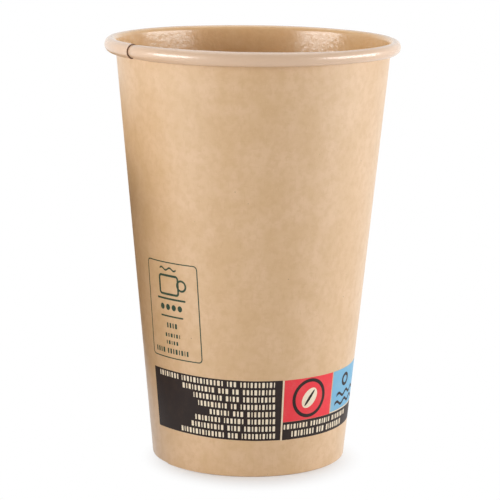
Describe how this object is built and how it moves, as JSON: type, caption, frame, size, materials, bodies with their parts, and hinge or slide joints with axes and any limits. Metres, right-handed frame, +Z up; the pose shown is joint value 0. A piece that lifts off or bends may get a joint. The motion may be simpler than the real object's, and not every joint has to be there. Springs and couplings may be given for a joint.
{
  "type": "paper coffee cup",
  "caption": "Tall tapered paper cup for hot drinks, with a rolled rim, a lapped side seam and a recessed base.",
  "frame": {"origin": "on the cup's axis, at the level of the surface that the foot stands on", "axes": "+Z up along the cup's axis, from the foot to the mouth; -Y towards the printed front; the side seam lies towards -X and a little towards -Y"},
  "size_m": [0.0904, 0.0902, 0.1302],
  "materials": {
    "kraft_board": "uncoated brown kraft outside, thin drink-proof coating inside",
    "base_board": "brown board with a thin drink-proof coating on the drink side"
  },
  "bodies": {
    "root": {"side_wall": "kraft_board", "bottom_disc": "base_board"}
  },
  "joints": []
}
